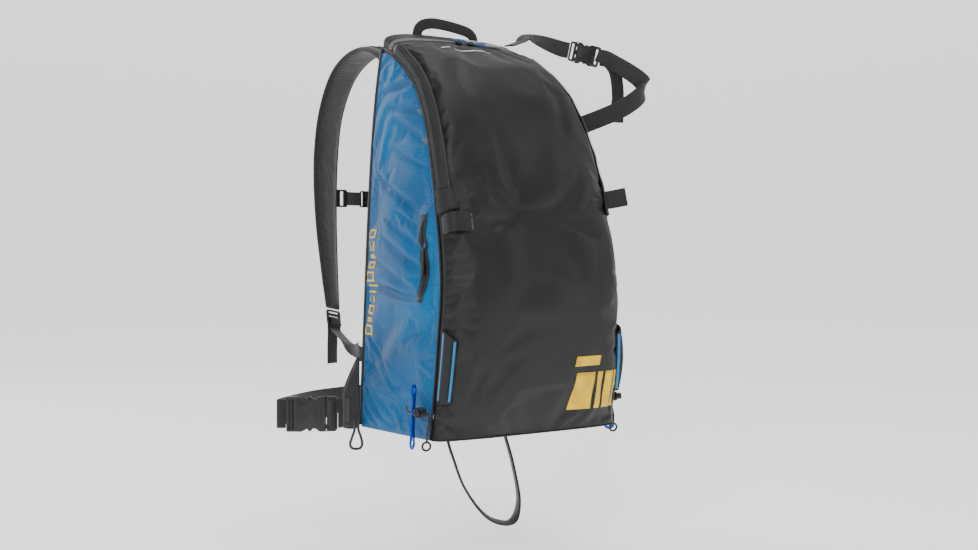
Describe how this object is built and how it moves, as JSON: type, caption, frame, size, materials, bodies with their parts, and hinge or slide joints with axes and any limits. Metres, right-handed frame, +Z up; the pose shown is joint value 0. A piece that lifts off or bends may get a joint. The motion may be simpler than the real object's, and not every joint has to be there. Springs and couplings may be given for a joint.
{
  "type": "avalanche airbag backpack",
  "caption": "Slim ski-touring backpack with a front flap zip, ski and axe straps, hip belt and a stowed airbag with gas cylinder and trigger handle.",
  "frame": {"origin": "centre of the lumbar pad's face, where the pack rests on the wearer's back", "axes": "+Z up, +Y towards the wearer's back, -Y the pack's outer face, -X the wearer's left side"},
  "size_m": [0.4949, 0.4144, 0.669],
  "materials": {
    "blue_ripstop": "satin",
    "black_coated_cloth": "satin",
    "black_spacer_mesh": "matte",
    "black_webbing": "matte",
    "black_acetal": "satin",
    "grey_pull_tab": "satin",
    "white_polyethylene": "matte",
    "blue_anodised_aluminium": "anodised",
    "bare_aluminium": "satin",
    "grey_steel": "satin",
    "red_airbag_nylon": "matte",
    "orange_handle": "satin",
    "black_elastic_cord": "matte"
  },
  "bodies": {
    "shell": {"side_panel_left": "blue_ripstop", "side_panel_right": "blue_ripstop", "front_panel": "black_coated_cloth", "crown_panel": "black_coated_cloth", "base_panel": "black_coated_cloth", "main_zip_chain": "black_acetal", "back_panel": "black_spacer_mesh", "lumbar_pad": "black_spacer_mesh", "frame_sheet": "white_polyethylene", "shoulder_strap_left": "black_spacer_mesh", "shoulder_strap_right": "black_spacer_mesh", "ladder_lock_left": "black_acetal", "ladder_lock_right": "black_acetal", "strap_webbing_left": "black_webbing", "strap_webbing_right": "black_webbing", "haul_loop": "black_webbing", "ski_strap_rear": "black_webbing", "ski_strap_front": "black_webbing", "ski_buckle_male": "black_acetal", "ski_loop_lower": "black_webbing", "axe_holder_left": "black_webbing", "axe_holder_right": "black_webbing", "cord_lock_left": "black_acetal", "cord_lock_right": "black_acetal", "axe_cord_left": "black_elastic_cord", "axe_cord_right": "black_elastic_cord", "airbag_folded": "red_airbag_nylon", "gas_cylinder": "grey_steel", "cylinder_valve": "bare_aluminium", "inflator_body": "bare_aluminium", "inflator_hose": "black_acetal", "trigger_cable": "black_elastic_cord", "trigger_dock": "black_acetal"},
    "front_flap": {"front_flap": "black_coated_cloth"},
    "zip_slider_left": {"zip_slider_left": "black_acetal"},
    "zip_slider_right": {"zip_slider_right": "black_acetal"},
    "zip_pull_left": {"zip_pull_left": "grey_pull_tab"},
    "zip_pull_right": {"zip_pull_right": "grey_pull_tab"},
    "pocket_slider": {"pocket_zip_slider": "black_acetal"},
    "pocket_pull": {"pocket_zip_pull": "grey_pull_tab"},
    "hip_belt": {"hip_wing_left": "black_spacer_mesh", "hip_wing_right": "black_spacer_mesh", "hip_webbing_left": "black_webbing", "hip_webbing_right": "black_webbing", "hip_buckle_male": "black_acetal", "gear_loop": "black_elastic_cord"},
    "hip_buckle_female": {"hip_buckle_female": "black_acetal"},
    "sternum_strap": {"sternum_clip_left": "black_acetal", "sternum_clip_right": "black_acetal", "sternum_webbing_left": "black_webbing", "sternum_webbing_right": "black_webbing", "sternum_buckle_male": "black_acetal"},
    "sternum_buckle_female": {"sternum_buckle_female": "black_acetal"},
    "ski_buckle_female": {"ski_buckle_female": "black_acetal"},
    "axe_toggle_left": {"axe_toggle_left": "blue_anodised_aluminium"},
    "axe_toggle_right": {"axe_toggle_right": "blue_anodised_aluminium"},
    "lock_plunger_left": {"lock_plunger_left": "black_acetal"},
    "lock_plunger_right": {"lock_plunger_right": "black_acetal"},
    "trigger_handle": {"trigger_handle": "orange_handle"},
    "firing_lever": {"firing_lever": "blue_anodised_aluminium"}
  },
  "joints": [
    {"name": "flap_fold", "type": "hinge", "parent": "shell", "child": "front_flap", "pos_m": [0, -0.21319, 0.23608], "axis": [1, 0, 0], "range_deg": [0, 110]},
    {"name": "zip_left_slide", "type": "slide", "parent": "front_flap", "child": "zip_slider_left", "axis": [-1, 0, 0], "range_m": [0, 0.06]},
    {"name": "zip_right_slide", "type": "slide", "parent": "front_flap", "child": "zip_slider_right", "axis": [1, 0, 0], "range_m": [0, 0.04]},
    {"name": "pull_left_lift", "type": "hinge", "parent": "zip_slider_left", "child": "zip_pull_left", "pos_m": [-0.0145, -0.04304, 0.45194], "axis": [0, -0.8967, -0.4426], "range_deg": [0, 150]},
    {"name": "pull_right_lift", "type": "hinge", "parent": "zip_slider_right", "child": "zip_pull_right", "pos_m": [0.015, -0.05111, 0.44795], "axis": [0, -0.8967, -0.4426], "range_deg": [0, 150]},
    {"name": "pocket_slide", "type": "slide", "parent": "shell", "child": "pocket_slider", "axis": [-0.0569, -0.0014, -0.9984], "range_m": [0, 0.075]},
    {"name": "pocket_pull_lift", "type": "hinge", "parent": "pocket_slider", "child": "pocket_pull", "pos_m": [-0.14081, -0.15886, 0.1904], "axis": [0, 1, 0], "range_deg": [0, 140]},
    {"name": "belt_swing", "type": "hinge", "parent": "shell", "child": "hip_belt", "pos_m": [0, -0.015, -0.029], "axis": [1, 0, 0], "range_deg": [-35, 5]},
    {"name": "hip_buckle_part", "type": "slide", "parent": "hip_belt", "child": "hip_buckle_female", "axis": [-0.8389, 0.5443, 0], "range_m": [0, 0.035], "deforming": ["hip_webbing_right"]},
    {"name": "sternum_height", "type": "slide", "parent": "shell", "child": "sternum_strap", "axis": [0, -0.1535, -0.9881], "range_m": [-0.015, 0.015]},
    {"name": "sternum_buckle_part", "type": "slide", "parent": "sternum_strap", "child": "sternum_buckle_female", "axis": [1, 0, 0], "range_m": [0, 0.02], "deforming": ["sternum_webbing_right"]},
    {"name": "ski_buckle_part", "type": "slide", "parent": "shell", "child": "ski_buckle_female", "axis": [0.817, -0.5311, -0.2247], "range_m": [0, 0.025], "deforming": ["ski_strap_front"]},
    {"name": "toggle_left_swing", "type": "hinge", "parent": "shell", "child": "axe_toggle_left", "pos_m": [-0.15997, -0.165, -0.041], "axis": [0.5879, -0.8089, -0.0029], "range_deg": [-12, 12]},
    {"name": "toggle_right_swing", "type": "hinge", "parent": "shell", "child": "axe_toggle_right", "pos_m": [0.15997, -0.165, -0.041], "axis": [-0.5879, -0.8089, -0.0029], "range_deg": [-12, 12]},
    {"name": "plunger_left_press", "type": "slide", "parent": "shell", "child": "lock_plunger_left", "axis": [0.8067, 0.5866, -0.0719], "range_m": [0, 0.0035], "stiffness_N_per_m": 400, "springref_m": -0.001},
    {"name": "plunger_right_press", "type": "slide", "parent": "shell", "child": "lock_plunger_right", "axis": [-0.8067, 0.5866, -0.0719], "range_m": [0, 0.0035], "stiffness_N_per_m": 400, "springref_m": -0.001},
    {"name": "handle_pull", "type": "slide", "parent": "shell", "child": "trigger_handle", "axis": [0.0953, 0.0428, -0.9945], "range_m": [0, 0.045]},
    {"name": "lever_fire", "type": "hinge", "parent": "shell", "child": "firing_lever", "pos_m": [0.0525, -0.055, 0.233], "axis": [0, 1, 0], "range_deg": [0, 20]}
  ],
  "couplings": [
    {"joint": "lever_fire", "follows": "handle_pull", "rad_per_m": 7.757}
  ]
}
